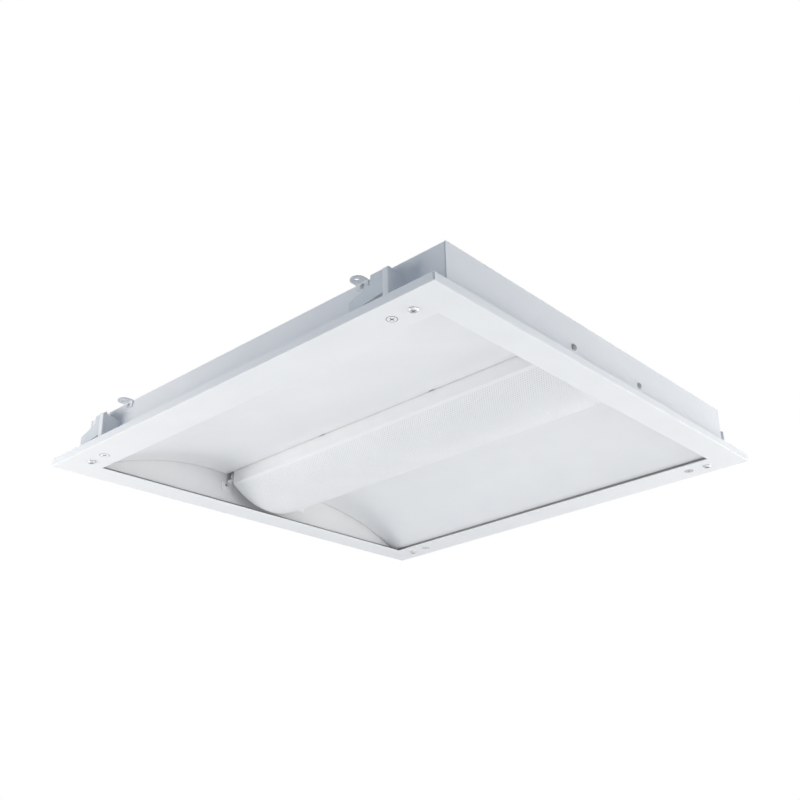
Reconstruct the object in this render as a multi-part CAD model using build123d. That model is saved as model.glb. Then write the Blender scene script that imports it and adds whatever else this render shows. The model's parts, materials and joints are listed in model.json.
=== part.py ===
from build123d import *
import os
from math import sqrt

# Recessed office light fixture for a 600 mm ceiling, all sizes in millimetres.
# X runs across the basket, Y along it, Z up. Z = 0 is the underside of the ceiling,
# which the top edge of the trim frame's rim meets; the origin is in the middle of it.

# Trim frame
FRAME_SIZE = 595.0       # outside of the square frame
FRAME_FACE_X = 44.0      # width of its face on the two clamp sides
FRAME_FACE_Y = 34.0      # width of its face on the two end sides
FRAME_SHEET = 1.0
RIM_HEIGHT = 9.0         # turned-up rim, from the face to the ceiling
CORNER_SLIT = 1.2        # each rim stops this far short of the corner
FRAME_EDGE = 0.8         # rounding between the face and its rim

# Housing
SIDE_INSET = 35.5        # side walls, in from the edge of the frame
END_INSET = 15.5         # end walls, in from the edge of the frame
HOUSING_RISE = 55.0      # top of the housing above the ceiling
SHEET = 0.7
BEND = 1.2               # midline radius of the folded sheets
SIDE_FOOT = 24.0         # out-turned foot of a side wall
END_FOOT = 10.0          # out-turned foot of an end wall
LAP = 14.0               # how far an end wall folds over the housing's top
FOLD_INSET = 12.0        # an end wall's folds stop this far from the side walls
END_SEAM = 0.5           # open seam between the housing's sides and an end wall
FIT = 0.1                # gap between folded sheets that lie on each other

# Optical parts
CHANNEL_DEPTH = 16.3       # from the inside of the housing's top to the reflectors' crest
CHANNEL_CLEAR = 8.0        # lamp channel wall, outside the basket
CHANNEL_LIP = 15.0         # out-turned lip that carries a reflector
REFLECTOR_SHEET = 0.6
REFLECTOR_CREST = 22.8     # level line of the arch, from its inner edge
REFLECTOR_TOE = 4.5        # outer edge of the arch, above the frame's sheet
REFLECTOR_STAND_OFF = 4.4  # outer edge of the arch, in from the side wall
REFLECTOR_HEM = 11.0       # upright hem, up to its fold against the side wall
REFLECTOR_END_GAP = 1.0    # end of a reflector to the end liner
SEAM_GAP = 0.6             # between the basket and a reflector's inner edge
SEAM_SLOT_Y = 90.0         # tool slots in the inner edge, from the middle
SEAM_SLOT_LENGTH = 8.0
SEAM_SLOT_DEPTH = 1.5
END_SHEET = 0.6            # white liner in front of an end wall
LINER_STAND_OFF = 3.5      # liner, in from the end wall
LINER_TOE = 7.5            # lower edge of the liner, above the frame's sheet
SPACER_WALL = 1.2          # sleeves that hold the liner off the end wall

# Basket
BASKET_WIDTH = 128.0
BASKET_END_GAP = 1.5       # from the end of the basket to the edge of the frame's opening
BASKET_SHEET = 0.8
BASKET_DROP = 0.6          # top edge, below the reflectors' crest
BASKET_SIDE = 17.4         # height of the upright sides
BASKET_BELLY = 25.0        # depth of the curved underside
CAP_SHEET = 0.8
CAP_INSET = 0.7            # end caps sit this far inside the ends of the shell
DIFFUSER_SHEET = 1.0
DIFFUSER_SIDE = 8.0        # height of the diffuser's upright sides
SOFT_GAP = 0.3             # between the diffuser and the shell

# Basket pivot and catches
PIVOT_INSET = 4.0          # pivot, in from the side of the basket; the catches mirror it
PIVOT_DROP = 4.4           # pivot, below the top of the basket
PIN_RADIUS = 2.0
PIN_HEAD_RADIUS = 3.2
PIN_REACH = 1.6            # pin end past the inner face of the cap
RUNNING_GAP = 0.05
BRACKET_SHEET = 1.2
BRACKET_WIDTH = 16.0
BRACKET_STAND_OFF = 4.5    # from the step's face to the end of the basket
BRACKET_HEAD = 3.4         # upper leg, above the pivot and out from it
BRACKET_SHOULDER = 4.0     # the bracket narrows this far above the wall screw
BRACKET_STEP = 6.0         # step, above the wall screw
BRACKET_TAIL = 7.0         # lower leg, below the wall screw
CATCH_GAP = 0.3            # plunger to end cap
WALL_SCREW_DROP = 16.4     # wall screws, below the top of the basket
WALL_SCREW_RADIUS = 2.0
WALL_SCREW_LENGTH = 8.0
WALL_HEAD_RADIUS = 3.8
WALL_HEAD_HEIGHT = 2.2
HEAD_BEVEL = 0.6           # bevel of a pan head, as a share of its height

# Swing clamps
CLAMP_INSET = 24.0         # drive screws, in from the edge of the frame
CLAMP_END = 71.5           # drive screws, from the corner along the side
SCREW_RADIUS = 2.5
SCREW_HEAD_RADIUS = 5.5    # countersunk at 90 degrees, flush with the face
SCREW_END = 2.3            # screw end above the bush
COLLAR_LAP = 0.4           # collar, wider than the hole it sits over
COLLAR_HEIGHT = 1.2
HEAD_GAP = 0.3
RECESS_LENGTH = 5.4        # cross recess of the screw heads in the face
RECESS_WIDTH = 1.1
RECESS_DEPTH = 1.6
BUSH_WALL = 1.0
BUSH_FLANGE = 1.2
BUSH_FLANGE_LAP = 0.9
KNUCKLE_WALL = 1.05
KNUCKLE_HEIGHT = 15.0
ARM_LOW_Z = 23.5
ARM_HEIGHT = 24.0
ARM_NECK_GAP = 1.0         # tall part of the arm, out from the bush's flange
ARM_BLOCK_LENGTH = 26.0    # tall part of the arm, out from the screw
ARM_SHOULDER_DROP = 9.0
ARM_LENGTH = 54.0
ARM_TIP_HEIGHT = 13.0
ARM_TIP_DROP = 7.0         # tip, below the knuckle
ARM_SHEET = 1.6
ARM_WALL_GAP = 3.5         # pressing foot to the side wall, at rest
ARM_FOOT_START = 9.0
ARM_CORNER = 2.0
POST_SHEET = 1.0
POST_GAP = 0.4             # web to knuckle
POST_REACH = 9.5           # outer strip, out from the screw
POST_STRIP_END = 1.5       # free edge of the strip, the stop of the arm
POST_TOP_Z = 40.0
POST_SLOPE = 4.5           # fall of the web's top edge towards the wall
POST_FOOT_SHEET = 1.2
POST_FOOT_END = 8.0
POST_NOTCH = 3.0           # corner cut away where the side wall bends

# Frame screws
FRAME_SCREW_END = 45.5     # from the corner along the side
FRAME_SCREW_RADIUS = 2.0
FRAME_HEAD_RADIUS = 5.0
FRAME_HEAD_HEIGHT = 2.2
FRAME_SCREW_LENGTH = 6.5
NUT_WIDTH = 7.0
NUT_HEIGHT = 3.2
SCREW_GAP = 0.1

# Suspension ears
EAR_NEAR_END = 119.5       # ear beside a clamp's arm, from the corner along the side
EAR_FAR_END = 93.5         # ear beside a clamp's post, from the corner along the side
EAR_WIDTH = 16.0
EAR_REACH = 14.0
EAR_LEG = 9.0
EAR_SHEET = 1.2
EAR_CORNER = 2.5           # rounding of the leg's lower corners
EAR_HOLE = 8.0             # hole, from the side wall
EAR_HOLE_RADIUS = 2.25
EAR_RIVET_DROP = 5.2       # rivet, below the ear's tab
EAR_ROUND_REST = 0.1       # flat left between the two rounded corners, halved
RIVET_RADIUS = 1.6
RIVET_HEAD_RADIUS = 3.0
RIVET_HEAD_HEIGHT = 1.0
TOP_RIVETS = 5             # rivets through each end wall's top lap
TOP_RIVET_EDGE = 52.0      # first rivet, from the side wall

# Lamp and gear
BOARD_X = 26.0
BOARD_WIDTH = 22.0
BOARD_END_GAP = 20.0       # from the end of the lamp channel
BOARD_SHEET = 1.6
CHIP_SIZE = 3.0
CHIP_HEIGHT = 0.7
CHIP_PITCH = 15.0
CHIP_END_GAP = 10.0        # from the end of a board
BOARD_SCREW_X = 7.0        # from the board's middle line
BOARD_SCREW_END = 20.0     # from the end of a board
BOARD_SCREWS = 3
GEAR_SCREW_RADIUS = 1.5
GEAR_HEAD_RADIUS = 2.8
GEAR_HEAD_HEIGHT = 1.6
CONNECTOR_END = 72.0       # middle of the connectors, from the end of a board
CONNECTOR_WIDTH = 8.0
CONNECTOR_LENGTH = 9.0
CONNECTOR_HEIGHT = 8.0
LEAD_RADIUS = 1.8
LEAD_BEND = 18.0
LEAD_RUN = 30.0            # LED lead, from the driver to the line of the connectors
LEAD_DROP = 5.5            # LED leads, below the boards
LEAD_HOLE_GAP = 1.5
DRIVER_INSET = 66.0        # middle of the driver, in from the side wall
DRIVER_LENGTH = 230.0
DRIVER_WIDTH = 40.0
DRIVER_HEIGHT = 20.0
DRIVER_EDGE = 2.0
DRIVER_LUG = 12.0
LUG_SHEET = 1.2
TERMINAL_INSET = 62.0      # terminal block and cable entry, in from the side wall
TERMINAL_LENGTH = 42.0
TERMINAL_WIDTH = 20.0
TERMINAL_HEIGHT = 16.0
TERMINAL_WAYS = 3
TERMINAL_HOLE_RADIUS = 2.2
TERMINAL_HOLE_Z = 5.0      # wire holes, above the block's underside
SUPPLY_RADIUS = 3.0        # lead from the terminal block to the driver
SUPPLY_LENGTH = 54.0
ENTRY_GAP = 44.0           # cable entry, from the end of the terminal block
ENTRY_RADIUS = 6.0         # cable bore of the grommet
ENTRY_WALL = 4.0           # rubber between the bore and the sheet
GROMMET_LAP = 3.0
GROMMET_FLANGE = 2.0
EARTH_INSET = 47.0
EARTH_GAP = 19.0           # earth screw, from the end of the terminal block
EARTH_RADIUS = 2.0
EARTH_LENGTH = 10.0
EARTH_NUT_RADIUS = 4.0
EARTH_NUT_HEIGHT = 2.0

# Places worked out from the sizes above
HALF_FRAME = FRAME_SIZE / 2
FACE_Z = -RIM_HEIGHT
SEAT_Z = FACE_Z + FRAME_SHEET
FOOT_TOP_Z = SEAT_Z + SHEET
CEILING_Z = HOUSING_RISE - SHEET           # inside of the housing's top
WALL_X = HALF_FRAME - SIDE_INSET
WALL_Y = HALF_FRAME - END_INSET
WALL_IN_X = WALL_X - SHEET
WALL_IN_Y = WALL_Y - SHEET
LINER_OUT_Y = WALL_IN_Y - LINER_STAND_OFF
LINER_IN_Y = LINER_OUT_Y - END_SHEET
OPEN_X = HALF_FRAME - FRAME_FACE_X         # edges of the frame's opening
OPEN_Y = HALF_FRAME - FRAME_FACE_Y
PAN_LENGTH = 2 * (WALL_IN_Y - END_SEAM)
CHANNEL_LENGTH = 2 * (LINER_IN_Y - FIT)
REFLECTOR_LENGTH = 2 * (LINER_IN_Y - REFLECTOR_END_GAP)

CREST_Z = CEILING_Z - CHANNEL_DEPTH
BASKET_X = BASKET_WIDTH / 2
BASKET_Y = OPEN_Y - BASKET_END_GAP
BASKET_TOP_Z = CREST_Z - BASKET_DROP
BASKET_EDGE_Z = BASKET_TOP_Z - BASKET_SIDE
CAP_Y = BASKET_Y - CAP_INSET - CAP_SHEET / 2
SEAM_X = BASKET_X + SEAM_GAP
CREST_X = SEAM_X + REFLECTOR_CREST
TOE_X = WALL_IN_X - REFLECTOR_STAND_OFF - REFLECTOR_SHEET / 2
TOE_Z = SEAT_Z + REFLECTOR_TOE
ARCH_RADIUS = ((TOE_X - CREST_X) ** 2 + (CREST_Z - TOE_Z) ** 2) / (2 * (CREST_Z - TOE_Z))

PIVOT_X = BASKET_X - PIVOT_INSET
PIVOT_Z = BASKET_TOP_Z - PIVOT_DROP
WALL_SCREW_X = BASKET_X
WALL_SCREW_Z = BASKET_TOP_Z - WALL_SCREW_DROP
BRACKET_FACE_Y = BASKET_Y + BRACKET_STAND_OFF

CLAMP_X = HALF_FRAME - CLAMP_INSET
CLAMP_Y = HALF_FRAME - CLAMP_END
FRAME_SCREW_Y = HALF_FRAME - FRAME_SCREW_END
BUSH_RADIUS = SCREW_RADIUS + RUNNING_GAP + BUSH_WALL
KNUCKLE_RADIUS = BUSH_RADIUS + RUNNING_GAP + KNUCKLE_WALL
BUSH_FLANGE_RADIUS = BUSH_RADIUS + BUSH_FLANGE_LAP
KNUCKLE_TOP_Z = ARM_LOW_Z + KNUCKLE_HEIGHT
ARM_TOP_Z = ARM_LOW_Z + ARM_HEIGHT
ARM_NECK_Y = BUSH_FLANGE_RADIUS + ARM_NECK_GAP
POST_WEB_Y = -KNUCKLE_RADIUS - POST_GAP - POST_SHEET / 2
POST_FOOT_TOP_Z = FOOT_TOP_Z + POST_FOOT_SHEET

CHANNEL_X = BASKET_X + CHANNEL_CLEAR
CHANNEL_LOW_Z = CEILING_Z - SHEET          # underside of the lamp channel's top
BOARD_LENGTH = CHANNEL_LENGTH - 2 * BOARD_END_GAP
BOARD_LOW_Z = CHANNEL_LOW_Z - BOARD_SHEET
LEAD_Z = BOARD_LOW_Z - LEAD_DROP
CONNECTOR_Y = BOARD_LENGTH / 2 - CONNECTOR_END
DRIVER_X = WALL_X - DRIVER_INSET
DRIVER_Y = CONNECTOR_Y - LEAD_RUN - DRIVER_LENGTH / 2
TERMINAL_X = WALL_X - TERMINAL_INSET
TERMINAL_Y = DRIVER_Y - (DRIVER_LENGTH + TERMINAL_LENGTH) / 2 - SUPPLY_LENGTH
ENTRY_X = TERMINAL_X
ENTRY_Y = TERMINAL_Y - TERMINAL_LENGTH / 2 - ENTRY_GAP
ENTRY_HOLE_RADIUS = ENTRY_RADIUS + ENTRY_WALL
EARTH_X = WALL_X - EARTH_INSET
EARTH_Y = TERMINAL_Y + TERMINAL_LENGTH / 2 + EARTH_GAP
PARTS = {}


def block(x, y, z):
    """Box between pairs of limits."""
    size = (x[1] - x[0], y[1] - y[0], z[1] - z[0])
    middle = (sum(x) / 2, sum(y) / 2, sum(z) / 2)
    return Pos(*middle) * Box(*size)


def rod(radius, low, high, x=0.0, y=0.0):
    """Upright cylinder between two heights."""
    return Pos(x, y, (low + high) / 2) * Cylinder(radius, high - low)


def rod_y(radius, start, end, x, z):
    """Cylinder along Y between two places."""
    return Pos(x, (start + end) / 2, z) * Rot(90, 0, 0) * Cylinder(radius, abs(end - start))


def strip(path, thickness):
    """Thin face along a midline drawn in the XY plane."""
    return trace(path, line_width=thickness)


def along_y(face, length):
    """Section drawn as X and Z, extruded both ways along Y."""
    return extrude(Plane.XZ * face, length / 2, both=True)


def along_x(face, low, high):
    """Section drawn as Y and Z, extruded from one X to another."""
    return extrude(Plane.YZ.offset(low) * face, high - low)


def four(x, y):
    """The four places that mirror one another in X and Y."""
    return [(sx * x, sy * y) for sx in (-1, 1) for sy in (-1, 1)]


def drill(solid, places, radius, low, high):
    """Upright holes through a sheet."""
    for x, y in places:
        solid -= rod(radius, low, high, x, y)
    return solid


def reflector_z(x):
    """Height of the reflector's midline at a distance from the middle."""
    return CREST_Z - ARCH_RADIUS + sqrt(ARCH_RADIUS ** 2 - (x - CREST_X) ** 2)


def head_radius(z):
    """Radius of the countersunk head at a height."""
    return SCREW_HEAD_RADIUS - (z - FACE_Z)


def cross_recess(low):
    """Cross that is cut into the underside of a screw head."""
    bar = Pos(0, 0, low + RECESS_DEPTH / 2) * Box(RECESS_LENGTH, RECESS_WIDTH, RECESS_DEPTH)
    return bar + Rot(0, 0, 90) * bar


def pan_head(radius, height):
    """Bevelled screw head that stands up from Z = 0."""
    head = rod(radius, 0, height)
    return chamfer(head.edges().group_by(Axis.Z)[-1], HEAD_BEVEL * height)


def spread(half, count):
    """Evenly spaced places from -half to half."""
    return [half * (2 * n / (count - 1) - 1) for n in range(count)]


def trim_frame():
    """Flat face with a turned-up rim, slit at the corners, and the screw holes."""
    face = block((-HALF_FRAME, HALF_FRAME), (-HALF_FRAME, HALF_FRAME), (FACE_Z, SEAT_Z))
    reach = HALF_FRAME - CORNER_SLIT
    rim = block((HALF_FRAME - FRAME_SHEET, HALF_FRAME), (-reach, reach), (FACE_Z, 0))
    for turn in range(4):
        face += Rot(0, 0, 90 * turn) * rim
    face = fillet(face.edges().group_by(Axis.Z)[0], FRAME_EDGE)
    face -= block((-OPEN_X, OPEN_X), (-OPEN_Y, OPEN_Y), (FACE_Z, SEAT_Z))
    for x, y in four(CLAMP_X, CLAMP_Y):
        low = head_radius(FACE_Z) + HEAD_GAP
        high = head_radius(SEAT_Z) + HEAD_GAP
        face -= Pos(x, y, (FACE_Z + SEAT_Z) / 2) * Cone(low, high, FRAME_SHEET)
    return drill(face, four(CLAMP_X, FRAME_SCREW_Y), FRAME_SCREW_RADIUS + SCREW_GAP, FACE_Z, SEAT_Z)


def top_rivet_places():
    """Middle of each rivet through the laps of the end walls."""
    row = spread(WALL_X - TOP_RIVET_EDGE, TOP_RIVETS)
    return [(x, sy * (WALL_Y - LAP / 2)) for x in row for sy in (-1, 1)]


def ear_places():
    """Side of the housing that each suspension ear is on, and its middle along Y."""
    near = HALF_FRAME - EAR_NEAR_END
    far = HALF_FRAME - EAR_FAR_END
    return [(-1, -near), (-1, far), (1, near), (1, -far)]


def driver_lug_places():
    """Screw holes in the lugs of the driver."""
    reach = DRIVER_LENGTH / 2 + DRIVER_LUG / 2
    return [(DRIVER_X, DRIVER_Y - reach), (DRIVER_X, DRIVER_Y + reach)]


def housing_pan():
    """Folded top and side walls with out-turned feet that lie on the frame."""
    half = SHEET / 2
    foot = SEAT_Z + half
    top = HOUSING_RISE - half
    wall = WALL_X - half
    toe = WALL_X + SIDE_FOOT
    path = FilletPolyline(
        (-toe, foot), (-wall, foot), (-wall, top), (wall, top), (wall, foot), (toe, foot), radius=BEND
    )
    pan = along_y(strip(path, SHEET), PAN_LENGTH)
    pan = drill(pan, four(CLAMP_X, CLAMP_Y), head_radius(SEAT_Z) + HEAD_GAP, SEAT_Z, FOOT_TOP_Z)
    pan = drill(pan, four(CLAMP_X, FRAME_SCREW_Y), FRAME_SCREW_RADIUS + SCREW_GAP, SEAT_Z, FOOT_TOP_Z)
    pan = drill(pan, top_rivet_places(), RIVET_RADIUS + RUNNING_GAP, CEILING_Z, HOUSING_RISE)
    pan = drill(pan, [(ENTRY_X, ENTRY_Y)], ENTRY_HOLE_RADIUS, CEILING_Z, HOUSING_RISE)
    pan = drill(pan, [(EARTH_X, EARTH_Y)], EARTH_RADIUS + RUNNING_GAP, CEILING_Z, HOUSING_RISE)
    pan = drill(pan, driver_lug_places(), GEAR_SCREW_RADIUS + RUNNING_GAP, CEILING_Z, HOUSING_RISE)
    rivet = Rot(0, 90, 0) * Cylinder(RIVET_RADIUS + RUNNING_GAP, 2 * SHEET)
    for side, y in ear_places():
        pan -= Pos(side * wall, y, HOUSING_RISE - EAR_RIVET_DROP) * rivet
    return pan


def end_wall(side):
    """Folded end of the housing, riveted over its top; side is -1 at the front and 1 at the back."""
    half = SHEET / 2
    face = WALL_Y - half
    foot = SEAT_Z + half
    lap = HOUSING_RISE + FIT + half
    reach = WALL_X - FOLD_INSET
    path = FilletPolyline((WALL_Y + END_FOOT, foot), (face, foot), (face, lap), (WALL_Y - LAP, lap), radius=BEND)
    wall = along_x(strip(path, SHEET), -reach, reach)
    for x in ((-WALL_X, -reach), (reach, WALL_X)):
        wall += block(x, (WALL_IN_Y, WALL_Y), (SEAT_Z, HOUSING_RISE))
    for x in (-WALL_SCREW_X, WALL_SCREW_X):
        wall -= rod_y(WALL_SCREW_RADIUS + SCREW_GAP, WALL_IN_Y, WALL_Y, x, WALL_SCREW_Z)
    places = [place for place in top_rivet_places() if place[1] > 0]
    wall = drill(wall, places, RIVET_RADIUS + RUNNING_GAP, lap - half, lap + half)
    return wall if side > 0 else Rot(0, 0, 180) * wall


def end_liner(side):
    """White liner in front of an end wall; its top edge is folded back to the wall."""
    half = END_SHEET / 2
    face = LINER_IN_Y + half
    top = CEILING_Z - FIT - half
    reach = WALL_IN_X - BEND
    path = FilletPolyline((face, SEAT_Z + LINER_TOE), (face, top), (WALL_IN_Y - FIT, top), radius=BEND)
    liner = along_x(strip(path, END_SHEET), -reach, reach)
    for x in (-WALL_SCREW_X, WALL_SCREW_X):
        liner -= rod_y(WALL_SCREW_RADIUS + SCREW_GAP, LINER_IN_Y, LINER_OUT_Y, x, WALL_SCREW_Z)
    return liner if side > 0 else Rot(0, 0, 180) * liner


def screw_spacers():
    """Sleeves on the wall screws that hold the liners off the end walls."""
    bore = WALL_SCREW_RADIUS + SCREW_GAP
    spacers = []
    for x, side in four(WALL_SCREW_X, 1):
        sleeve = rod_y(bore + SPACER_WALL, LINER_OUT_Y, WALL_IN_Y, x, WALL_SCREW_Z)
        sleeve -= rod_y(bore, LINER_OUT_Y, WALL_IN_Y, x, WALL_SCREW_Z)
        spacers.append(sleeve if side > 0 else mirror(sleeve, Plane.XZ))
    return Compound(spacers)


def reflector(side):
    """Arched reflector; the hem at its outer edge is folded out to the side wall."""
    half = REFLECTOR_SHEET / 2
    points = [(x, reflector_z(x)) for x in (SEAM_X, (SEAM_X + TOE_X) / 2, TOE_X)]
    sheet = along_y(strip(ThreePointArc(*points), REFLECTOR_SHEET), REFLECTOR_LENGTH)
    fold = TOE_Z + REFLECTOR_HEM
    hem = FilletPolyline((TOE_X, TOE_Z - half), (TOE_X, fold), (WALL_IN_X - FIT, fold), radius=BEND)
    sheet += along_y(strip(hem, REFLECTOR_SHEET), REFLECTOR_LENGTH)
    slot = Box(2 * SEAM_SLOT_DEPTH, SEAM_SLOT_LENGTH, 4 * REFLECTOR_SHEET)
    for y in (-SEAM_SLOT_Y, SEAM_SLOT_Y):
        sheet -= Pos(SEAM_X, y, reflector_z(SEAM_X)) * slot
    return sheet if side > 0 else Rot(0, 0, 180) * sheet


def lamp_channel():
    """Folded channel above the basket; its lips carry the reflectors."""
    half = SHEET / 2
    lip = CREST_Z + REFLECTOR_SHEET / 2 + FIT + half
    top = CEILING_Z - half
    toe = CHANNEL_X + CHANNEL_LIP
    path = FilletPolyline(
        (-toe, lip),
        (-CHANNEL_X, lip),
        (-CHANNEL_X, top),
        (CHANNEL_X, top),
        (CHANNEL_X, lip),
        (toe, lip),
        radius=BEND,
    )
    channel = along_y(strip(path, SHEET), CHANNEL_LENGTH)
    lead_hole = Rot(0, 90, 0) * Cylinder(LEAD_RADIUS + LEAD_HOLE_GAP, 2 * SHEET)
    channel -= Pos(CHANNEL_X, CONNECTOR_Y, LEAD_Z) * lead_hole
    return drill(channel, board_screw_places(), GEAR_SCREW_RADIUS + RUNNING_GAP, CHANNEL_LOW_Z, CEILING_Z)


def board_screw_places():
    """Screw holes along the outer side of each board."""
    row = spread(BOARD_LENGTH / 2 - BOARD_SCREW_END, BOARD_SCREWS)
    return [(sx * (BOARD_X + BOARD_SCREW_X), y) for sx in (-1, 1) for y in row]


def led_board(side):
    """Circuit board under the lamp channel's top."""
    x = side * BOARD_X
    half = BOARD_WIDTH / 2
    board = block((x - half, x + half), (-BOARD_LENGTH / 2, BOARD_LENGTH / 2), (BOARD_LOW_Z, CHANNEL_LOW_Z))
    places = [place for place in board_screw_places() if place[0] * side > 0]
    return drill(board, places, GEAR_SCREW_RADIUS + RUNNING_GAP, BOARD_LOW_Z, CHANNEL_LOW_Z)


def led_chips():
    """Light-emitting packages in a row along the middle of each board."""
    half = BOARD_LENGTH / 2 - CHIP_END_GAP
    row = spread(half, int(2 * half / CHIP_PITCH) + 1)
    chip = Pos(0, 0, BOARD_LOW_Z - CHIP_HEIGHT / 2) * Box(CHIP_SIZE, CHIP_SIZE, CHIP_HEIGHT)
    return Compound([Pos(x, y, 0) * chip for x in (-BOARD_X, BOARD_X) for y in row])


def board_connectors():
    """Plug housings on the outer edge of each board."""
    outer = BOARD_X + BOARD_WIDTH / 2
    y = (CONNECTOR_Y - CONNECTOR_LENGTH / 2, CONNECTOR_Y + CONNECTOR_LENGTH / 2)
    z = (BOARD_LOW_Z - CONNECTOR_HEIGHT, BOARD_LOW_Z)
    right = block((outer - CONNECTOR_WIDTH, outer), y, z)
    left = block((-outer, CONNECTOR_WIDTH - outer), y, z)
    return Compound([left, right])


def board_link_lead():
    """Lead from one board's connector to the other's."""
    inner = BOARD_X + BOARD_WIDTH / 2 - CONNECTOR_WIDTH
    return Pos(0, CONNECTOR_Y, LEAD_Z) * Rot(0, 90, 0) * Cylinder(LEAD_RADIUS, 2 * inner)


def led_lead():
    """Lead from the end of the driver, round a bend and through the channel's wall."""
    start = DRIVER_Y + DRIVER_LENGTH / 2
    end = BOARD_X + BOARD_WIDTH / 2
    path = FilletPolyline(
        (DRIVER_X, start, LEAD_Z),
        (DRIVER_X, CONNECTOR_Y, LEAD_Z),
        (end, CONNECTOR_Y, LEAD_Z),
        radius=LEAD_BEND,
    )
    section = Plane((DRIVER_X, start, LEAD_Z), z_dir=(0, 1, 0)) * Circle(LEAD_RADIUS)
    return sweep(section, path=path)


def supply_lead():
    """Lead from the terminal block to the driver."""
    start = TERMINAL_Y + TERMINAL_LENGTH / 2
    end = DRIVER_Y - DRIVER_LENGTH / 2
    return rod_y(SUPPLY_RADIUS, start, end, TERMINAL_X, LEAD_Z)


def led_driver():
    """Closed driver case with a screw lug at each end."""
    low = CEILING_Z - DRIVER_HEIGHT
    x = (DRIVER_X - DRIVER_WIDTH / 2, DRIVER_X + DRIVER_WIDTH / 2)
    y = (DRIVER_Y - DRIVER_LENGTH / 2, DRIVER_Y + DRIVER_LENGTH / 2)
    case = block(x, y, (low, CEILING_Z))
    case = fillet(case.edges().filter_by(Axis.Y).group_by(Axis.Z)[0], DRIVER_EDGE)
    case += block(x, (y[0] - DRIVER_LUG, y[1] + DRIVER_LUG), (CEILING_Z - LUG_SHEET, CEILING_Z))
    return drill(case, driver_lug_places(), GEAR_SCREW_RADIUS + RUNNING_GAP, CEILING_Z - LUG_SHEET, CEILING_Z)


def gear_screws():
    """Screws that hold the boards to the channel and the driver to the housing."""
    seats = [(x, y, BOARD_LOW_Z, CEILING_Z) for x, y in board_screw_places()]
    seats += [(x, y, CEILING_Z - LUG_SHEET, HOUSING_RISE) for x, y in driver_lug_places()]
    screws = []
    for x, y, low, high in seats:
        head = rod(GEAR_HEAD_RADIUS, low - GEAR_HEAD_HEIGHT, low, x, y)
        screws.append(head + rod(GEAR_SCREW_RADIUS, low, high, x, y))
    return Compound(screws)


def terminal_block():
    """Connector block with one wire hole and one screw well for each way."""
    low = CEILING_Z - TERMINAL_HEIGHT
    x = (TERMINAL_X - TERMINAL_WIDTH / 2, TERMINAL_X + TERMINAL_WIDTH / 2)
    y = (TERMINAL_Y - TERMINAL_LENGTH / 2, TERMINAL_Y + TERMINAL_LENGTH / 2)
    body = block(x, y, (low, CEILING_Z))
    pitch = TERMINAL_LENGTH / TERMINAL_WAYS
    wire = Rot(0, 90, 0) * Cylinder(TERMINAL_HOLE_RADIUS, TERMINAL_WIDTH)
    for place in spread((TERMINAL_LENGTH - pitch) / 2, TERMINAL_WAYS):
        body -= Pos(TERMINAL_X, TERMINAL_Y + place, low + TERMINAL_HOLE_Z) * wire
        body -= rod(TERMINAL_HOLE_RADIUS, low, low + TERMINAL_HOLE_Z, TERMINAL_X, TERMINAL_Y + place)
    return body


def cable_grommet():
    """Rubber grommet that lines the cable entry in the housing's top."""
    flange = ENTRY_HOLE_RADIUS + GROMMET_LAP
    low = CEILING_Z - GROMMET_FLANGE
    high = HOUSING_RISE + GROMMET_FLANGE
    ring = rod(ENTRY_HOLE_RADIUS - RUNNING_GAP, low, high, ENTRY_X, ENTRY_Y)
    ring += rod(flange, low, CEILING_Z, ENTRY_X, ENTRY_Y)
    ring += rod(flange, HOUSING_RISE, high, ENTRY_X, ENTRY_Y)
    return ring - rod(ENTRY_RADIUS, low, high, ENTRY_X, ENTRY_Y)


def earth_screw():
    """Earth terminal that hangs from the housing's top."""
    low = CEILING_Z - EARTH_LENGTH
    screw = rod(EARTH_RADIUS, low, HOUSING_RISE, EARTH_X, EARTH_Y)
    screw += rod(EARTH_NUT_RADIUS, CEILING_Z - EARTH_NUT_HEIGHT, CEILING_Z, EARTH_X, EARTH_Y)
    return screw + rod(EARTH_NUT_RADIUS, low, low + EARTH_NUT_HEIGHT, EARTH_X, EARTH_Y)


def suspension_ear(side, y):
    """Bent ear with a rounded, drilled tab and a leg riveted to the side wall."""
    half = EAR_SHEET / 2
    tab_z = HOUSING_RISE - half
    path = FilletPolyline(
        (half, HOUSING_RISE - EAR_LEG), (half, tab_z), (EAR_REACH, tab_z), radius=BEND
    )
    ear = along_y(strip(path, EAR_SHEET), EAR_WIDTH)
    corners = ear.edges().filter_by(Axis.Z).group_by(Axis.X)[-1]
    ear = fillet(corners, EAR_WIDTH / 2 - EAR_ROUND_REST)
    ear = fillet(ear.edges().filter_by(Axis.X).group_by(Axis.Z)[0], EAR_CORNER)
    ear -= rod(EAR_HOLE_RADIUS, tab_z - EAR_SHEET, tab_z + EAR_SHEET, EAR_HOLE)
    rivet = Rot(0, 90, 0) * Cylinder(RIVET_RADIUS + RUNNING_GAP, 3 * EAR_SHEET)
    ear -= Pos(half, 0, HOUSING_RISE - EAR_RIVET_DROP) * rivet
    ear = Pos(WALL_X, y * side, 0) * ear
    return ear if side > 0 else Rot(0, 0, 180) * ear


def rivet(grip):
    """Rivet whose shank fills the grip below Z = 0 and whose head stands above."""
    head = Pos(0, 0, RIVET_HEAD_HEIGHT / 2) * Cone(RIVET_HEAD_RADIUS, RIVET_RADIUS, RIVET_HEAD_HEIGHT)
    return head + rod(RIVET_RADIUS, -grip, 0)


def ear_rivets():
    """Rivets that hold the ears to the side walls."""
    x = WALL_X + EAR_SHEET
    one = rivet(SHEET + EAR_SHEET)
    z = HOUSING_RISE - EAR_RIVET_DROP
    return Compound([Pos(side * x, y, z) * Rot(0, 90 * side, 0) * one for side, y in ear_places()])


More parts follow.
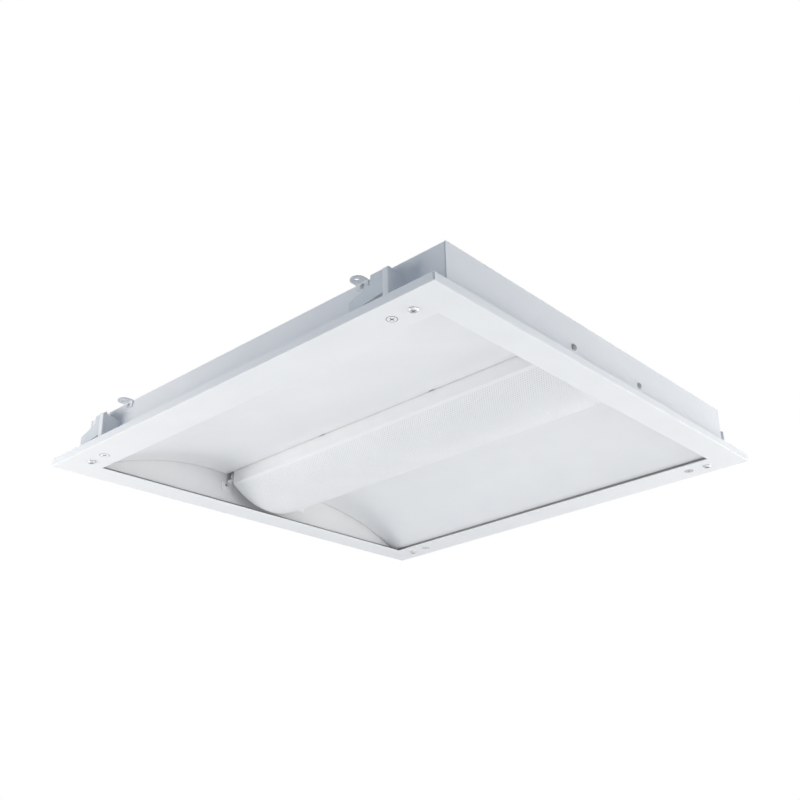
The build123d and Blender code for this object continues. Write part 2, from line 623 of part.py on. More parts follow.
def top_rivets():
    """Rivets that hold the end walls to the housing's top."""
    one = rivet(2 * SHEET + FIT)
    z = HOUSING_RISE + FIT + SHEET
    return Compound([Pos(x, y, z) * one for x, y in top_rivet_places()])


def frame_screws():
    """Pan-head screws that hold the frame to the housing's feet."""
    head = Pos(0, 0, FACE_Z) * Rot(180, 0, 0) * pan_head(FRAME_HEAD_RADIUS, FRAME_HEAD_HEIGHT)
    screw = head + rod(FRAME_SCREW_RADIUS, FACE_Z, FACE_Z + FRAME_SCREW_LENGTH)
    screw -= cross_recess(FACE_Z - FRAME_HEAD_HEIGHT)
    return Compound([Pos(x, y, 0) * screw for x, y in four(CLAMP_X, FRAME_SCREW_Y)])


def frame_nuts():
    """Hexagon nuts on the frame screws."""
    nut = extrude(RegularPolygon(NUT_WIDTH / 2, 6, major_radius=False), NUT_HEIGHT)
    nut -= rod(FRAME_SCREW_RADIUS + SCREW_GAP, 0, NUT_HEIGHT)
    return Compound([Pos(x, y, FOOT_TOP_Z) * nut for x, y in four(CLAMP_X, FRAME_SCREW_Y)])


def end_wall_screws():
    """Pan-head screws through the end walls and liners into the brackets."""
    screw = pan_head(WALL_HEAD_RADIUS, WALL_HEAD_HEIGHT) + rod(WALL_SCREW_RADIUS, -WALL_SCREW_LENGTH, 0)
    screws = []
    for x, y in four(WALL_SCREW_X, WALL_Y):
        out = -90 if y > 0 else 90
        screws.append(Pos(x, y, WALL_SCREW_Z) * Rot(out, 0, 0) * screw)
    return Compound(screws)


def basket_bracket(side_x, side_y):
    """Stepped bracket on an end liner; its narrower upper leg faces the end of the basket."""
    half = BRACKET_SHEET / 2
    wall = LINER_IN_Y - half
    face = BRACKET_FACE_Y + half
    low = WALL_SCREW_Z - BRACKET_TAIL
    step = WALL_SCREW_Z + BRACKET_STEP
    high = PIVOT_Z + BRACKET_HEAD
    path = FilletPolyline((wall, low), (wall, step), (face, step), (face, high), radius=BEND)
    x = side_x * WALL_SCREW_X
    bracket = along_x(strip(path, BRACKET_SHEET), x - BRACKET_WIDTH / 2, x + BRACKET_WIDTH / 2)
    cut_x = sorted((side_x * (PIVOT_X + BRACKET_HEAD), x + side_x * BRACKET_WIDTH / 2))
    bracket -= block(cut_x, (face - half, wall + half), (WALL_SCREW_Z + BRACKET_SHOULDER, high))
    bracket -= rod_y(WALL_SCREW_RADIUS + SCREW_GAP, wall - half, wall + half, x, WALL_SCREW_Z)
    bracket -= rod_y(PIN_RADIUS + RUNNING_GAP, face - half, face + half, side_x * PIVOT_X, PIVOT_Z)
    return bracket if side_y > 0 else mirror(bracket, Plane.XZ)


def pivot_pins():
    """Pins on which the basket turns, one in each bracket on the hinge side."""
    pins = []
    for side in (-1, 1):
        start = BRACKET_FACE_Y + 2 * BRACKET_SHEET
        end = CAP_Y - CAP_SHEET / 2 - PIN_REACH
        pin = rod_y(PIN_RADIUS, end, start, -PIVOT_X, PIVOT_Z)
        pin += rod_y(PIN_HEAD_RADIUS, BRACKET_FACE_Y + BRACKET_SHEET, start, -PIVOT_X, PIVOT_Z)
        pins.append(pin if side > 0 else mirror(pin, Plane.XZ))
    return Compound(pins)


def catch_plungers():
    """Round-nosed plungers that hold the free side of the basket."""
    nose_y = CAP_Y + CAP_SHEET / 2 + CATCH_GAP
    plungers = []
    for side in (-1, 1):
        start = BRACKET_FACE_Y + 2 * BRACKET_SHEET
        plunger = rod_y(PIN_RADIUS, nose_y + PIN_RADIUS, start, PIVOT_X, PIVOT_Z)
        plunger += Pos(PIVOT_X, nose_y + PIN_RADIUS, PIVOT_Z) * Sphere(PIN_RADIUS)
        plunger += rod_y(PIN_HEAD_RADIUS, BRACKET_FACE_Y + BRACKET_SHEET, start, PIVOT_X, PIVOT_Z)
        plungers.append(plunger if side > 0 else mirror(plunger, Plane.XZ))
    return Compound(plungers)


def basket_section(inset, top):
    """Face with upright sides and a curved underside, a distance inside the shell."""
    x = BASKET_X - inset
    edge = BASKET_EDGE_Z
    low = BASKET_EDGE_Z - BASKET_BELLY + inset
    left = Line((-x, top), (-x, edge))
    curve = ThreePointArc((-x, edge), (0, low), (x, edge))
    right = Line((x, edge), (x, top))
    return make_face([left, curve, right, Line((x, top), (-x, top))])


def basket_shell():
    """Trough of perforated sheet; its fine holes are not part of the solid."""
    return along_y(basket_section(0, BASKET_TOP_Z) - basket_section(BASKET_SHEET, BASKET_TOP_Z), 2 * BASKET_Y)


def diffuser():
    """Opal sheet that lies inside the perforated shell."""
    near = BASKET_SHEET + SOFT_GAP
    top = BASKET_EDGE_Z + DIFFUSER_SIDE
    section = basket_section(near, top) - basket_section(near + DIFFUSER_SHEET, top)
    return along_y(section, 2 * (CAP_Y - CAP_SHEET / 2 - SOFT_GAP))


def basket_end_cap(side):
    """End of the basket with its pivot hole."""
    cap = Pos(0, CAP_Y, 0) * along_y(basket_section(BASKET_SHEET + FIT, BASKET_TOP_Z), CAP_SHEET)
    cap -= rod_y(PIN_RADIUS + RUNNING_GAP, CAP_Y - CAP_SHEET, CAP_Y + CAP_SHEET, -PIVOT_X, PIVOT_Z)
    return cap if side > 0 else mirror(cap, Plane.XZ)


def clamp_places():
    """Drive screws: place, and the turn that points each arm's swing outward."""
    left = [(-CLAMP_X, -CLAMP_Y, 0), (-CLAMP_X, CLAMP_Y, 0)]
    right = [(CLAMP_X, CLAMP_Y, 180), (CLAMP_X, -CLAMP_Y, 180)]
    return left + right


def post_hole_radius():
    """Hole in the post's foot, which clears the screw's head."""
    return head_radius(FOOT_TOP_Z) + HEAD_GAP


def clamp_post():
    """Folded post beside the screw; the free edge of its strip stops the arm."""
    wall = CLAMP_X - WALL_X
    half = POST_SHEET / 2
    plan = FilletPolyline(
        (wall, POST_WEB_Y), (-POST_REACH, POST_WEB_Y), (-POST_REACH, POST_STRIP_END), radius=BEND
    )
    post = extrude(Pos(0, 0, FOOT_TOP_Z) * strip(plan, POST_SHEET), POST_TOP_Z - FOOT_TOP_Z)
    start = (BEND - POST_REACH, POST_TOP_Z)
    slope = make_face(Polyline(start, (wall, POST_TOP_Z), (wall, POST_TOP_Z - POST_SLOPE), close=True))
    web_y = (POST_WEB_Y - half, POST_WEB_Y + half)
    post -= Pos(0, POST_WEB_Y, 0) * along_y(slope, 2 * POST_SHEET)
    post -= block((wall - POST_NOTCH, wall), web_y, (FOOT_TOP_Z, FOOT_TOP_Z + POST_NOTCH))
    foot_y = (POST_WEB_Y - half, POST_FOOT_END)
    post += block((half - POST_REACH, wall - POST_NOTCH), foot_y, (FOOT_TOP_Z, POST_FOOT_TOP_Z))
    return post - rod(post_hole_radius(), FOOT_TOP_Z, POST_FOOT_TOP_Z)


def clamp_screw():
    """Countersunk drive screw with a collar that keeps it in the frame."""
    cone = SCREW_HEAD_RADIUS - SCREW_RADIUS
    screw = Pos(0, 0, FACE_Z + cone / 2) * Cone(SCREW_HEAD_RADIUS, SCREW_RADIUS, cone)
    screw += rod(SCREW_RADIUS, FACE_Z + cone, KNUCKLE_TOP_Z + RUNNING_GAP + BUSH_FLANGE + SCREW_END)
    collar = POST_FOOT_TOP_Z + SOFT_GAP
    screw += rod(post_hole_radius() + COLLAR_LAP, collar, collar + COLLAR_HEIGHT)
    return screw - cross_recess(FACE_Z)


def clamp_bush():
    """Threaded bush with a flange above and below the arm's knuckle."""
    low = ARM_LOW_Z - RUNNING_GAP
    high = KNUCKLE_TOP_Z + RUNNING_GAP
    bush = rod(BUSH_RADIUS, low, high)
    bush += rod(BUSH_FLANGE_RADIUS, low - BUSH_FLANGE, low)
    bush += rod(BUSH_FLANGE_RADIUS, high, high + BUSH_FLANGE)
    return bush - rod(SCREW_RADIUS + RUNNING_GAP, low - BUSH_FLANGE, high + BUSH_FLANGE)


def clamp_arm():
    """Arm that lies along the housing at rest and swings out over the ceiling board."""
    tip_z = ARM_LOW_Z - ARM_TIP_DROP
    outline = Polyline(
        (0, KNUCKLE_TOP_Z),
        (ARM_NECK_Y, KNUCKLE_TOP_Z),
        (ARM_NECK_Y, ARM_TOP_Z),
        (ARM_BLOCK_LENGTH, ARM_TOP_Z),
        (ARM_BLOCK_LENGTH, ARM_TOP_Z - ARM_SHOULDER_DROP),
        (ARM_LENGTH, tip_z + ARM_TIP_HEIGHT),
        (ARM_LENGTH, tip_z),
        (ARM_FOOT_START, ARM_LOW_Z),
        (0, ARM_LOW_Z),
        close=True,
    )
    arm = along_x(make_face(outline), -ARM_SHEET / 2, ARM_SHEET / 2)
    foot = Polyline(
        (ARM_FOOT_START, ARM_LOW_Z),
        (ARM_LENGTH, tip_z),
        (ARM_LENGTH, tip_z + ARM_SHEET),
        (ARM_FOOT_START, ARM_LOW_Z + ARM_SHEET),
        close=True,
    )
    arm += along_x(make_face(foot), -ARM_SHEET / 2, CLAMP_X - WALL_X - ARM_WALL_GAP)
    tip = arm.edges().filter_by(Axis.X).group_by(Axis.Y)[-1].sort_by(Axis.Z)[-1]
    arm = fillet(tip, ARM_CORNER)
    arm += rod(KNUCKLE_RADIUS, ARM_LOW_Z, KNUCKLE_TOP_Z)
    return arm - rod(BUSH_RADIUS + RUNNING_GAP, ARM_LOW_Z, KNUCKLE_TOP_Z)


def add(name, shape):
    PARTS[name] = shape


def build():
    add("trim_frame", trim_frame())
    add("housing_pan", housing_pan())
    add("lamp_channel", lamp_channel())
    for name, side in (("front", -1), ("back", 1)):
        add("end_wall_" + name, end_wall(side))
        add("end_liner_" + name, end_liner(side))
        add("pivot_bracket_" + name, basket_bracket(-1, side))
        add("catch_bracket_" + name, basket_bracket(1, side))
        add("basket_end_cap_" + name, basket_end_cap(side))
    for name, side in (("left", -1), ("right", 1)):
        add("reflector_" + name, reflector(side))
        add("led_board_" + name, led_board(side))
    add("led_chips", led_chips())
    add("board_connectors", board_connectors())
    add("board_link_lead", board_link_lead())
    add("led_lead", led_lead())
    add("supply_lead", supply_lead())
    add("led_driver", led_driver())
    add("gear_screws", gear_screws())
    add("terminal_block", terminal_block())
    add("cable_grommet", cable_grommet())
    add("earth_screw", earth_screw())
    for n, (side, y) in enumerate(ear_places(), 1):
        add(f"suspension_ear_{n}", suspension_ear(side, y))
    add("ear_rivets", ear_rivets())
    add("top_rivets", top_rivets())
    add("frame_screws", frame_screws())
    add("frame_nuts", frame_nuts())
    add("end_wall_screws", end_wall_screws())
    add("screw_spacers", screw_spacers())
    add("pivot_pins", pivot_pins())
    add("catch_plungers", catch_plungers())
    add("basket_shell", basket_shell())
    add("diffuser", diffuser())
    for n, (x, y, turn) in enumerate(clamp_places(), 1):
        place = Pos(x, y, 0) * Rot(0, 0, turn)
        add(f"clamp_post_{n}", place * clamp_post())
        add(f"clamp_screw_{n}", place * clamp_screw())
        add(f"clamp_bush_{n}", place * clamp_bush())
        add(f"clamp_arm_{n}", place * clamp_arm())


build()
os.makedirs("parts", exist_ok=True)
for node, shape in PARTS.items():
    export_step(shape, f"parts/{node}.step")
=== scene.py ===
import json
import math

import bmesh
import bpy
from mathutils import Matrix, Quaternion, Vector


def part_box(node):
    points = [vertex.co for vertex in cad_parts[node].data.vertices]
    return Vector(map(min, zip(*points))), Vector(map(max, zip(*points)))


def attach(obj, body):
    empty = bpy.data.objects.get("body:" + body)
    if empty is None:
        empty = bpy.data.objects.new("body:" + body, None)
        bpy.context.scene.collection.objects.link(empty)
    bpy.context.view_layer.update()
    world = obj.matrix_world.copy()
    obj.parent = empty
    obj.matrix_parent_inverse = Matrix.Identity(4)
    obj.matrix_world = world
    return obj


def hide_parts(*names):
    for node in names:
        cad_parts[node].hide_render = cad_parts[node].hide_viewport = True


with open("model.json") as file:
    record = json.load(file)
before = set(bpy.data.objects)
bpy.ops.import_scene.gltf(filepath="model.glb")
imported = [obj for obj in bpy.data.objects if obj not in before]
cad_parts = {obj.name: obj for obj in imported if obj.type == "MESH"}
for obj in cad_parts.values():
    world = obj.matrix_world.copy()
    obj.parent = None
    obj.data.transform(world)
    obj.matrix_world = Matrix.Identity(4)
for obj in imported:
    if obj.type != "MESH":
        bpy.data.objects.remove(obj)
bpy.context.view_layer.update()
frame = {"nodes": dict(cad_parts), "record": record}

# Looks of the recessed light fixture, in metres and in the frame of its solids:
# X across the basket, Y along it, Z up, and Z = 0 at the underside of the ceiling.
MM = 0.001
CORNERS = (1, 2, 3, 4)        # each corner has a clamp and a suspension ear

# Perforated basket
BASKET_SIDE = 17.4 * MM       # height of the plain upright sides
BASKET_SHEET = 0.8 * MM
FACE_SHEET = 0.4 * MM         # perforated layer of the basket's sheet; an opal film fills the rest
HOLE_PITCH = 3.0 * MM         # holes stand in rows along the basket, staggered by half
HOLE_RADIUS = 0.55 * MM
ROW_STEP = HOLE_PITCH * math.sqrt(3) / 2
FOLD_MARGIN = 3.5 * MM        # plain sheet between the folds and the first holes
END_MARGIN = 7.0 * MM         # plain sheet at the ends
FILM_STEP = 2                 # the film's outline takes every second column of the lattice
SHARP_ANGLE = math.radians(30)

# Border of a hole's cell in columns and rows from its lowest corner; the hole has as many corners
CELL_BORDER = ((2, 1), (2, 2), (1, 2), (0, 2), (0, 1), (0, 0), (1, 0), (2, 0))
HOLE_CORNERS = len(CELL_BORDER)

# Point under the middle of the housing: the inner faces of its sheets look towards it,
# and the outer ones do not
HOUSING_MIDDLE = (0.0, 0.0, -20.0 * MM)

# Shades, darkest and lightest where there are two
WHITE_COAT = ((0.828, 0.831, 0.838), (0.856, 0.859, 0.865))
# Painted shade: the end liners' white, made darker to stand in for the shade deep in the recess
LINER_SHADED_COAT = ((0.755, 0.759, 0.765), (0.779, 0.783, 0.789))
# Painted shade: the ears' white, made a darker cool grey to stand in for the shade on them
EAR_SHADED_COAT = ((0.725, 0.742, 0.77), (0.755, 0.772, 0.80))
# Painted shade: the rivets in the ears, made grey to stand in for the shade on them
RIVET_SHADED_COAT = ((0.42, 0.43, 0.45), (0.47, 0.48, 0.50))
# Backing coat inside the housing; its grey is also kept dark as painted shade for the narrow gaps along the
# frame
BACKING_AND_GAP_SHADE = (0.46, 0.466, 0.476)
BRIGHT_ZINC = ((0.62, 0.63, 0.65), (0.72, 0.73, 0.75))
SATIN_ZINC = ((0.50, 0.51, 0.53), (0.60, 0.61, 0.63))
DULL_ZINC = ((0.20, 0.21, 0.225), (0.30, 0.31, 0.325))
CLEAN_END = (0.78, 0.785, 0.79)
# Painted shadow: a dark ring on the clamp screws' heads, for the shadow in the gap of their countersinks
COUNTERSINK_SHADOW = (0.20, 0.205, 0.21)
RIM_WIDTH = 0.6 * MM          # of the painted shadow ring on the clamp screws' heads
SHADE_RANGE = (0.3, 0.7)      # values of a noise that give the darkest and the lightest shade

# Lowest and highest roughness of the zinc platings
BRIGHT_ROUGHNESS = (0.28, 0.44)
SATIN_ROUGHNESS = (0.40, 0.56)
DULL_ROUGHNESS = (0.46, 0.62)

# Camera, fitted to the corners of the trim frame
CAMERA_PLACE = Vector((-0.8608, -0.7786, -0.4634))
CAMERA_VIEW = Vector((0.72349, 0.56544, 0.39601))
CAMERA_ROLL = math.radians(-3.0)
CAMERA_LENS = 46.25           # millimetres, on the sensor below
CAMERA_SENSOR = 36.0
CAMERA_SHIFT = (-0.1003, 0.0326)

# Studio
FLOOR_Z = -1.45
FLOOR_HALF = 6.0
FLOOR_SHADES = ((0.78, 0.78, 0.785), (0.81, 0.81, 0.815))
FLOOR_CLOUDS = 0.4            # size of the faint patches in its colour
FLOOR_LIFT = (0.50, 0.46, 0.40, 1.0)    # added in view, so that the floor looks pale and neutral
AMBIENT_COLOUR = (0.60, 0.765, 1.0, 1.0)
AMBIENT_STRENGTH = 0.335
WHITE = (1.0, 1.0, 1.0, 1.0)
LAMP_COLOUR = (1.0, 0.972, 0.917)
LAMP_TARGET = Vector((0.0, 0.0, 0.0))   # every lamp faces the middle of the frame

# Name, place, edge and power in watts of each lamp
LAMPS = (
    ("left_softbox", (-0.8, 0.58, -0.3), 0.6, 5.4),
    ("right_softbox", (1.2, -0.7, -0.4), 0.8, 9.2),
    ("end_softbox", (0.5, -1.3, -0.05), 1.0, 5.4),
    ("low_softbox", (0.0, -0.6, -1.0), 1.0, 4.6),
    ("front_softbox", (-1.0, -0.9, -0.75), 0.9, 1.8),
    ("far_softbox", (0.5, 1.1, -0.6), 1.0, 1.8),
    ("high_softbox", (0.3, 0.3, 1.6), 1.2, 15.0),
)


class Look:
    """Procedural material: one Principled shader, fed by textures in object space."""

    def __init__(self, name, colour, roughness, metallic=0.0):
        self.material = bpy.data.materials.new(name)
        self.material.use_nodes = True
        self.tree = self.material.node_tree
        self.shader = self.tree.nodes["Principled BSDF"]
        self.shader.inputs["Base Color"].default_value = (*colour, 1.0)
        self.shader.inputs["Roughness"].default_value = roughness
        self.shader.inputs["Metallic"].default_value = metallic
        places = self.tree.nodes.new("ShaderNodeTexCoord")
        self.space = places.outputs["Object"]
        self.normal = places.outputs["Normal"]

    def stretched(self, factors):
        """Object space scaled by one factor on each axis."""
        node = self.tree.nodes.new("ShaderNodeMapping")
        node.inputs["Scale"].default_value = factors
        self.tree.links.new(self.space, node.inputs["Vector"])
        return node.outputs["Vector"]

    def noise(self, size, detail=2.0, space=None):
        """Soft noise whose patches are about as large as the size."""
        node = self.tree.nodes.new("ShaderNodeTexNoise")
        node.inputs["Scale"].default_value = 1 / size
        node.inputs["Detail"].default_value = detail
        self.tree.links.new(space or self.space, node.inputs["Vector"])
        return node.outputs["Fac"]

    def colour(self, source, dark, light):
        """Base colour between two shades."""
        node = self.tree.nodes.new("ShaderNodeValToRGB")
        first, last = node.color_ramp.elements
        first.position, last.position = SHADE_RANGE
        first.color = (*dark, 1.0)
        last.color = (*light, 1.0)
        self.tree.links.new(source, node.inputs["Fac"])
        self.tree.links.new(node.outputs["Color"], self.shader.inputs["Base Color"])

    def vector_math(self, operation, *sources):
        """Result of one vector operation on sockets or constants."""
        node = self.tree.nodes.new("ShaderNodeVectorMath")
        node.operation = operation
        for socket, source in zip(node.inputs, sources):
            if isinstance(source, tuple):
                socket.default_value = source
            else:
                self.tree.links.new(source, socket)
        return node.outputs["Value" if operation in ("DOT_PRODUCT", "DISTANCE") else "Vector"]

    def patch(self, source, comparison, limit, shade):
        """Another shade wherever a value passes a limit."""
        mask = self.tree.nodes.new("ShaderNodeMath")
        mask.operation = comparison
        mask.inputs[1].default_value = limit
        self.tree.links.new(source, mask.inputs[0])
        mix = self.tree.nodes.new("ShaderNodeMix")
        mix.data_type = "RGBA"
        factor, plain, patched = [socket for socket in mix.inputs if socket.enabled]
        shown = next(socket for socket in mix.outputs if socket.enabled)
        base = self.shader.inputs["Base Color"]
        patched.default_value = (*shade, 1.0)
        self.tree.links.new(mask.outputs["Value"], factor)
        self.tree.links.new(base.links[0].from_socket, plain)
        self.tree.links.new(shown, base)

    def inside(self, middle, shade):
        """Another shade on every face that looks towards a point."""
        offset = self.vector_math("SUBTRACT", self.space, middle)
        self.patch(self.vector_math("DOT_PRODUCT", offset, self.normal), "LESS_THAN", 0.0, shade)

    def rim(self, corner, reach, shade):
        """Another shade beyond a reach from an upright line, and from its mirror images in X and Y."""
        flat = self.vector_math("MULTIPLY", self.space, (1.0, 1.0, 0.0))
        mirrored = self.vector_math("ABSOLUTE", flat)
        self.patch(self.vector_math("DISTANCE", mirrored, corner), "GREATER_THAN", reach, shade)

    def roughness(self, source, low, high):
        """Roughness between two values."""
        node = self.tree.nodes.new("ShaderNodeMapRange")
        node.inputs["To Min"].default_value = low
        node.inputs["To Max"].default_value = high
        self.tree.links.new(source, node.inputs["Value"])
        self.tree.links.new(node.outputs["Result"], self.shader.inputs["Roughness"])

    def bump(self, source, depth):
        """Relief of a depth."""
        node = self.tree.nodes.new("ShaderNodeBump")
        node.inputs["Strength"].default_value = 1.0
        node.inputs["Distance"].default_value = depth
        self.tree.links.new(source, node.inputs["Height"])
        self.tree.links.new(node.outputs["Normal"], self.shader.inputs["Normal"])


def powder_coat(name, dark, light):
    """Powder coat: nearly matt, faintly clouded, with fine orange peel."""
    look = Look(name, light, roughness=0.57)
    look.shader.inputs["Specular IOR Level"].default_value = 0.35
    look.colour(look.noise(60 * MM, detail=4.0), dark, light)
    look.roughness(look.noise(9 * MM, detail=3.0), low=0.50, high=0.64)
    look.bump(look.noise(1.4 * MM), depth=0.02 * MM)
    return look


def white_paint():
    """White coat of the frame, the reflectors, the basket and the sheets that hold them."""
    return powder_coat("white_powder_coat", *WHITE_COAT).material


def liner_shaded_coat():
    """White of the frame made slightly darker for the end liners: painted shade for the shade deep in the
    recess.
    """
    return powder_coat("liner_painted_shade", *LINER_SHADED_COAT).material


def ear_shaded_coat():
    """Cool pale grey on the suspension ears: their white made darker and cooler as painted shade."""
    return powder_coat("ear_painted_shade", *EAR_SHADED_COAT).material


def rivet_shaded_coat():
    """Grey on the rivets in the ears: their coat made darker as painted shade."""
    return powder_coat("rivet_painted_shade", *RIVET_SHADED_COAT).material


def coil_coat():
    """Sheet that is white on the outside of the housing and has a pale grey backing coat inside, kept dark
    partly as painted shade for the gaps along the frame.
    """
    look = powder_coat("white_coil_coat", *WHITE_COAT)
    look.inside(HOUSING_MIDDLE, BACKING_AND_GAP_SHADE)
    return look.material


def arm_coat():
    """Pale grey coat of the clamp arms, darker and bluer than the white paint as painted shade for the shade
    on them.
    """
    look = Look("arm_painted_shade", (0.69, 0.72, 0.745), roughness=0.42)
    # Painted shade: these greys stand in for the shade on the arms
    look.colour(look.noise(20 * MM, detail=4.0), (0.665, 0.70, 0.725), (0.705, 0.738, 0.762))
    look.roughness(look.noise(5 * MM, detail=3.0), low=0.36, high=0.50)
    look.bump(look.noise(1.2 * MM), depth=0.015 * MM)
    return look.material


def zinc(name, shades, roughness):
    """Zinc plate on fasteners, with fine turning marks."""
    low, high = roughness
    look = Look(name, shades[1], roughness=(low + high) / 2, metallic=1.0)
    look.colour(look.noise(1.5 * MM, detail=3.0), *shades)
    look.roughness(look.noise(0.9 * MM, detail=3.0), low, high)
    look.bump(look.noise(0.3 * MM, space=look.stretched((0.3, 0.3, 2.0))), depth=0.01 * MM)
    return look


def screw_steel():
    """Bright plate of the gear's screws, the nuts, the basket's pins and plungers and the sleeves."""
    return zinc("bright_zinc", BRIGHT_ZINC, BRIGHT_ROUGHNESS).material


def satin_zinc():
    """Satin plate of the screws in the frame."""
    return zinc("satin_zinc", SATIN_ZINC, SATIN_ROUGHNESS).material


def dull_zinc():
    """Dull plate of the rivets at the top of the housing."""
    return zinc("dull_zinc", DULL_ZINC, DULL_ROUGHNESS).material


def wall_screw_zinc():
    """Dull heads outside the housing, and clean ends inside it."""
    look = zinc("wall_screw_zinc", DULL_ZINC, DULL_ROUGHNESS)
    look.inside(HOUSING_MIDDLE, CLEAN_END)
    return look.material


def clamp_screw_zinc():
    """Bright heads with a painted shadow ring at their edge, where the gap of their countersinks is in
    shade.
    """
    low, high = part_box("clamp_screw_1")
    corner = (abs(low.x + high.x) / 2, abs(low.y + high.y) / 2, 0.0)
    look = zinc("clamp_screw_zinc", BRIGHT_ZINC, BRIGHT_ROUGHNESS)
    look.rim(corner, (high.x - low.x) / 2 - RIM_WIDTH, COUNTERSINK_SHADOW)
    return look.material


def brass():
    """Turned brass with faint tarnish."""
    look = Look("turned_brass", (0.74, 0.55, 0.25), roughness=0.30, metallic=1.0)
    look.colour(look.noise(2.5 * MM, detail=4.0), (0.58, 0.42, 0.18), (0.80, 0.61, 0.30))
    look.roughness(look.noise(1.2 * MM, detail=3.0), low=0.22, high=0.40)
    look.bump(look.noise(0.4 * MM, space=look.stretched((0.2, 0.2, 2.0))), depth=0.012 * MM)
    return look.material


def opal_acrylic():
    """Opal sheet: milky, satin, with a little light carried under the surface."""
    look = Look("opal_acrylic", (0.86, 0.86, 0.85), roughness=0.40)
    look.shader.inputs["Subsurface Weight"].default_value = 0.25
    look.shader.inputs["Subsurface Radius"].default_value = (1.0, 1.0, 0.9)
    look.shader.inputs["Subsurface Scale"].default_value = 1.5 * MM
    look.colour(look.noise(40 * MM, detail=3.0), (0.83, 0.835, 0.83), (0.87, 0.87, 0.86))
    look.roughness(look.noise(4 * MM), low=0.34, high=0.46)
    look.bump(look.noise(0.6 * MM), depth=0.008 * MM)
    return look.material


def opal_film():
    """Thin diffusing film; its dim shade stands for the light that goes through it."""
    look = Look("opal_film", (0.50, 0.505, 0.51), roughness=0.50)
    look.colour(look.noise(30 * MM, detail=3.0), (0.47, 0.475, 0.48), (0.53, 0.535, 0.54))
    look.roughness(look.noise(4 * MM), low=0.44, high=0.56)
    look.bump(look.noise(0.6 * MM), depth=0.008 * MM)
    return look.material


def solder_mask():
    """White solder mask with the faint relief of the glass weave below it."""
    look = Look("white_solder_mask", (0.80, 0.81, 0.79), roughness=0.35)
    look.colour(look.noise(12 * MM, detail=3.0), (0.76, 0.77, 0.75), (0.83, 0.84, 0.82))
    look.roughness(look.noise(3 * MM), low=0.28, high=0.42)
    weave = look.noise(0.5 * MM, detail=1.0, space=look.stretched((1.0, 0.4, 1.0)))
    look.bump(weave, depth=0.01 * MM)
    return look.material


def phosphor():
    """Clear resin over yellow phosphor."""
    look = Look("led_phosphor", (0.85, 0.62, 0.16), roughness=0.18)
    look.shader.inputs["Coat Weight"].default_value = 0.6
    look.shader.inputs["Coat Roughness"].default_value = 0.08
    look.colour(look.noise(0.8 * MM), (0.78, 0.52, 0.10), (0.90, 0.70, 0.24))
    look.roughness(look.noise(0.5 * MM), low=0.12, high=0.28)
    look.bump(look.noise(0.3 * MM), depth=0.01 * MM)
    return look.material


def moulded(name, shades, roughness, grain, depth):
    """Moulded plastic or rubber with a spark-eroded texture."""
    low, high = roughness
    look = Look(name, shades[1], roughness=(low + high) / 2)
    look.colour(look.noise(15 * MM, detail=3.0), *shades)
    look.roughness(look.noise(3 * MM), low, high)
    look.bump(look.noise(grain), depth)
    return look.material


def nylon():
    """Ivory nylon of the connectors and the terminal block."""
    shades = ((0.72, 0.71, 0.66), (0.80, 0.79, 0.74))
    return moulded("moulded_nylon", shades, roughness=(0.40, 0.55), grain=0.6 * MM, depth=0.01 * MM)


def sheath():
    """Pale grey sheath of the leads."""
    shades = ((0.62, 0.63, 0.65), (0.72, 0.73, 0.75))
    return moulded("soft_lead_sheath", shades, roughness=(0.45, 0.60), grain=0.9 * MM, depth=0.015 * MM)


def driver_case():
    """Grey case of the LED driver."""
    shades = ((0.60, 0.61, 0.63), (0.69, 0.70, 0.72))
    return moulded("moulded_driver_case", shades, roughness=(0.50, 0.66), grain=0.5 * MM, depth=0.02 * MM)


def rubber():
    """Black rubber of the grommet."""
    shades = ((0.012, 0.012, 0.013), (0.028, 0.028, 0.03))
    return moulded("moulded_rubber", shades, roughness=(0.60, 0.80), grain=0.7 * MM, depth=0.015 * MM)


LOOKS = {
    "white_paint": white_paint(),
    "arm_coat": arm_coat(),
    "screw_steel": screw_steel(),
    "bush_brass": brass(),
    "opal_sheet": opal_acrylic(),
    "board_mask": solder_mask(),
    "led_phosphor": phosphor(),
    "connector_nylon": nylon(),
    "lead_sheath": sheath(),
    "driver_case": driver_case(),
    "grommet_rubber": rubber(),
}


def dress(obj, material):
    """Gives every face of an object one material."""
    obj.data.materials.clear()
    obj.data.materials.append(material)


def dress_nodes():
    """Gives every solid the look of its slot, and some of them a coat or plating of their own."""
    for part in frame["record"]["subparts"]:
        dress(frame["nodes"][part["node"]], LOOKS[part["material_slot"]])
    for material, nodes in (
        (coil_coat(), ("housing_pan", "end_wall_front", "end_wall_back")),
        (liner_shaded_coat(), ("end_liner_front", "end_liner_back")),
        (satin_zinc(), ("frame_screws",)),
        (wall_screw_zinc(), ("end_wall_screws",)),
        (dull_zinc(), ("top_rivets",)),
        (rivet_shaded_coat(), ("ear_rivets",)),
        (ear_shaded_coat(), [f"suspension_ear_{n}" for n in CORNERS]),
        (clamp_screw_zinc(), [f"clamp_screw_{n}" for n in CORNERS]),
    ):
        for node in nodes:
            dress(frame["nodes"][node], material)


def new_piece(name, points, faces, body, slot):
    """Closed mesh that rides on a body and takes its finish from a slot."""
    mesh = bpy.data.meshes.new(name)
    mesh.from_pydata(points, [], faces)
    shape = bmesh.new()
    shape.from_mesh(mesh)
    bmesh.ops.recalc_face_normals(shape, faces=shape.faces)
    shape.to_mesh(mesh)
    shape.free()
    mesh.polygons.foreach_set("use_smooth", [True] * len(mesh.polygons))
    mesh.set_sharp_from_angle(angle=SHARP_ANGLE)
    piece = bpy.data.objects.new(name, mesh)
    bpy.context.scene.collection.objects.link(piece)
    dress(piece, LOOKS[slot])
    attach(piece, body)
    return piece


